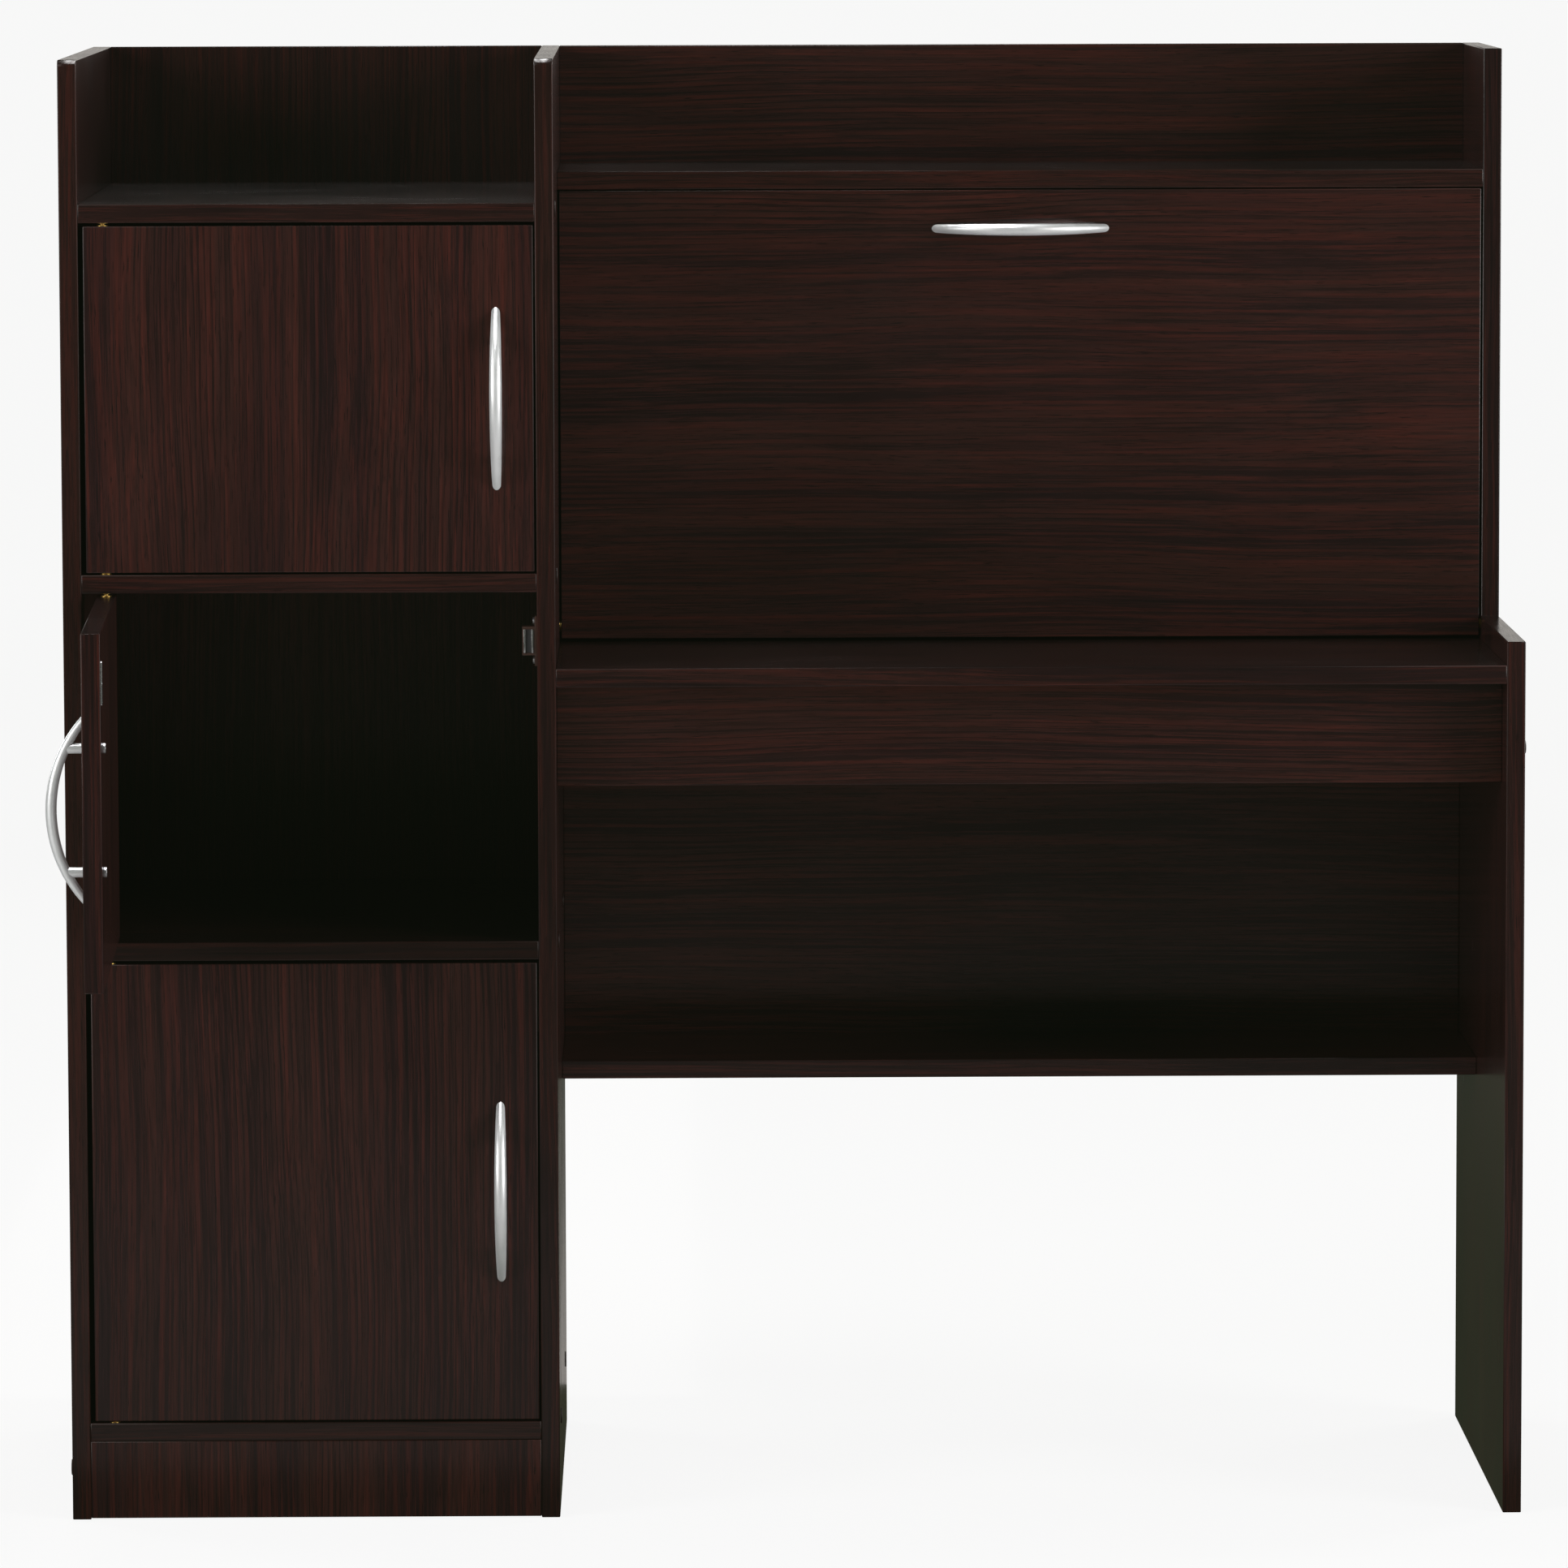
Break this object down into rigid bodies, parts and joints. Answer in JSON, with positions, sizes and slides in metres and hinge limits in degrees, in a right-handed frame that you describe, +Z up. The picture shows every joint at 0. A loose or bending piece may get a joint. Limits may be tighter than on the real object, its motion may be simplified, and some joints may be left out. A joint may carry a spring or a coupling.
{
  "type": "secretary desk",
  "caption": "Dark wood-laminate secretary desk: a tall tower with pivot-hung doors beside a desk with a hutch, a fall-front flap and open shelves.",
  "frame": {"origin": "on the floor, at the centre of the centre divider's bottom face", "axes": "+X to the right as seen from the front, +Y to the back, +Z up"},
  "size_m": [1.181, 0.7866, 1.18],
  "materials": {
    "laminate": "dark wenge wood-grain laminate on chipboard, semi-gloss",
    "satin_handle": "satin nickel-plated",
    "brass": "plain brass, satin",
    "brown_plastic": "brown moulded plastic",
    "bright_steel": "bright zinc-plated steel",
    "magnet": "dark grey ferrite",
    "zinc_screws": "zinc-plated",
    "dark_screws": "dark burnished steel",
    "dark_caps": "dark brown moulded plastic, satin",
    "dowel_wood": "raw beech"
  },
  "bodies": {
    "carcass": {"left_side_panel": "laminate", "centre_divider": "laminate", "right_side_panel": "laminate", "tower_bottom_board": "laminate", "lower_tower_shelf": "laminate", "middle_tower_shelf": "laminate", "upper_tower_shelf": "laminate", "plinth_board": "laminate", "tower_back_panel": "laminate", "desktop_board": "laminate", "desk_apron": "laminate", "under_desk_shelf": "laminate", "lower_back_panel": "laminate", "hutch_back_panel": "laminate", "hutch_shelf": "laminate", "tower_assembly_screws": "dark_screws", "desk_assembly_screws": "dark_screws", "screw_cover_caps": "dark_caps", "apron_screw_cap": "dark_caps", "board_dowels": "dowel_wood", "back_panel_screws": "zinc_screws", "door_pivot_sockets": "brass", "flap_pivot_sockets": "brass", "catch_bodies": "brown_plastic", "catch_pole_plates": "bright_steel", "catch_magnets": "magnet", "catch_screws": "zinc_screws"},
    "lower_door": {"lower_door_panel": "laminate", "lower_door_handle": "satin_handle", "lower_door_handle_screws": "zinc_screws", "lower_door_pivot_pins": "brass", "lower_door_strike_plate": "bright_steel", "lower_door_strike_screw": "bright_steel"},
    "middle_door": {"middle_door_panel": "laminate", "middle_door_handle": "satin_handle", "middle_door_handle_screws": "zinc_screws", "middle_door_pivot_pins": "brass", "middle_door_strike_plate": "bright_steel", "middle_door_strike_screw": "bright_steel"},
    "upper_door": {"upper_door_panel": "laminate", "upper_door_handle": "satin_handle", "upper_door_handle_screws": "zinc_screws", "upper_door_pivot_pins": "brass", "upper_door_strike_plate": "bright_steel", "upper_door_strike_screw": "bright_steel"},
    "flap": {"flap_panel": "laminate", "flap_handle": "satin_handle", "flap_handle_screws": "zinc_screws", "flap_pivot_pins": "brass", "flap_strike_plates": "bright_steel", "flap_strike_screws": "bright_steel"}
  },
  "joints": [
    {"name": "lower_door_hinge", "type": "hinge", "parent": "carcass", "child": "lower_door", "pos_m": [-0.353, -0.2175, 0.267], "axis": [0, 0, -1], "range_deg": [0, 135]},
    {"name": "middle_door_hinge", "type": "hinge", "parent": "carcass", "child": "middle_door", "pos_m": [-0.353, -0.2175, 0.6115], "axis": [0, 0, -1], "range_deg": [-88.5, 46.5]},
    {"name": "upper_door_hinge", "type": "hinge", "parent": "carcass", "child": "upper_door", "pos_m": [-0.353, -0.2175, 0.9085], "axis": [0, 0, -1], "range_deg": [0, 135]},
    {"name": "flap_hinge", "type": "hinge", "parent": "carcass", "child": "flap", "pos_m": [0.39, 0.0225, 0.7035], "axis": [1, 0, 0], "range_deg": [0, 91]}
  ]
}
